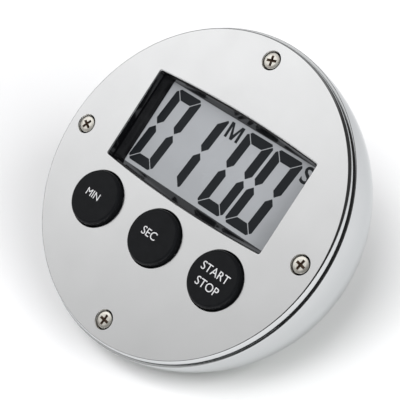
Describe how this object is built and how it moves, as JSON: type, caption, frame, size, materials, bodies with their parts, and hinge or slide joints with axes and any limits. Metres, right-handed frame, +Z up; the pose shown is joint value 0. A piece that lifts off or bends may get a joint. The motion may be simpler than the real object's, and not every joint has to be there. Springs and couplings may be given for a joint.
{
  "type": "kitchen timer",
  "caption": "Dome-shaped digital kitchen timer with a tilted round metal face, a deep display window, press keys under it and a quarter-turn battery door at the back.",
  "frame": {"origin": "middle of the rubber foot's underside, on the table", "axes": "+Z up; +X to the reader's right; the face leans back 41 degrees from level and looks up and towards -Y, where the reader stands"},
  "size_m": [0.08, 0.0716, 0.0659],
  "materials": {
    "dome_chrome": "polished chrome plate",
    "face_metal": "fine satin with a soft sheen",
    "frame_black": "gloss black moulding",
    "key_black": "satin black, white printed labels",
    "switch_black": "matt black",
    "lcd_face": "grey polariser over glass, dark digits",
    "lcd_rear": "clear glass",
    "reflector_foil": "satin foil",
    "zebra_rubber": "grey with black layers",
    "board_green": "green solder mask",
    "epoxy_black": "glossy epoxy drop",
    "tinned_steel": "bright tin or zinc plate",
    "ceramic_tan": "dipped ceramic",
    "buzzer_brass": "plain brass",
    "screw_nickel": "warm nickel plate",
    "foot_rubber": "matt dark grey",
    "lead_red": "vinyl sleeve",
    "lead_black": "vinyl sleeve"
  },
  "bodies": {
    "housing": {"dome_shell": "dome_chrome", "foot_pad": "foot_rubber", "face_plate": "face_metal", "face_screw_top": "screw_nickel", "face_screw_right": "screw_nickel", "face_screw_bottom": "screw_nickel", "face_screw_left": "screw_nickel", "inner_frame": "frame_black", "lcd_front_glass": "lcd_face", "lcd_rear_glass": "lcd_rear", "lcd_reflector": "reflector_foil", "zebra_strip_upper": "zebra_rubber", "zebra_strip_lower": "zebra_rubber", "min_switch": "switch_black", "sec_switch": "switch_black", "start_stop_switch": "switch_black", "circuit_board": "board_green", "board_screw_upper_right": "tinned_steel", "board_screw_lower_right": "tinned_steel", "board_screw_lower_left": "tinned_steel", "board_screw_upper_left": "tinned_steel", "chip_blob": "epoxy_black", "quartz_crystal": "tinned_steel", "resistor": "ceramic_tan", "capacitor_left": "ceramic_tan", "capacitor_right": "ceramic_tan", "buzzer_housing": "frame_black", "buzzer_disc": "buzzer_brass", "battery_holder": "frame_black", "button_cell": "tinned_steel", "negative_contact": "tinned_steel", "positive_contact": "tinned_steel", "positive_lead": "lead_red", "negative_lead": "lead_black"},
    "min_key": {"min_button": "key_black", "min_switch_plunger": "tinned_steel"},
    "sec_key": {"sec_button": "key_black", "sec_switch_plunger": "tinned_steel"},
    "start_stop_key": {"start_stop_button": "key_black", "start_stop_switch_plunger": "tinned_steel"},
    "battery_cover": {"battery_door": "frame_black"}
  },
  "joints": [
    {"name": "min_press", "type": "slide", "parent": "housing", "child": "min_key", "axis": [0, 0.6561, -0.7547], "range_m": [0, 0.0008], "stiffness_N_per_m": 1000},
    {"name": "sec_press", "type": "slide", "parent": "housing", "child": "sec_key", "axis": [0, 0.6561, -0.7547], "range_m": [0, 0.0008], "stiffness_N_per_m": 1000},
    {"name": "start_stop_press", "type": "slide", "parent": "housing", "child": "start_stop_key", "axis": [0, 0.6561, -0.7547], "range_m": [0, 0.0008], "stiffness_N_per_m": 1000},
    {"name": "battery_door_turn", "type": "hinge", "parent": "housing", "child": "battery_cover", "pos_m": [0, 0.02519, 0.00882], "axis": [0, -0.6561, 0.7547], "range_deg": [0, 60]}
  ]
}
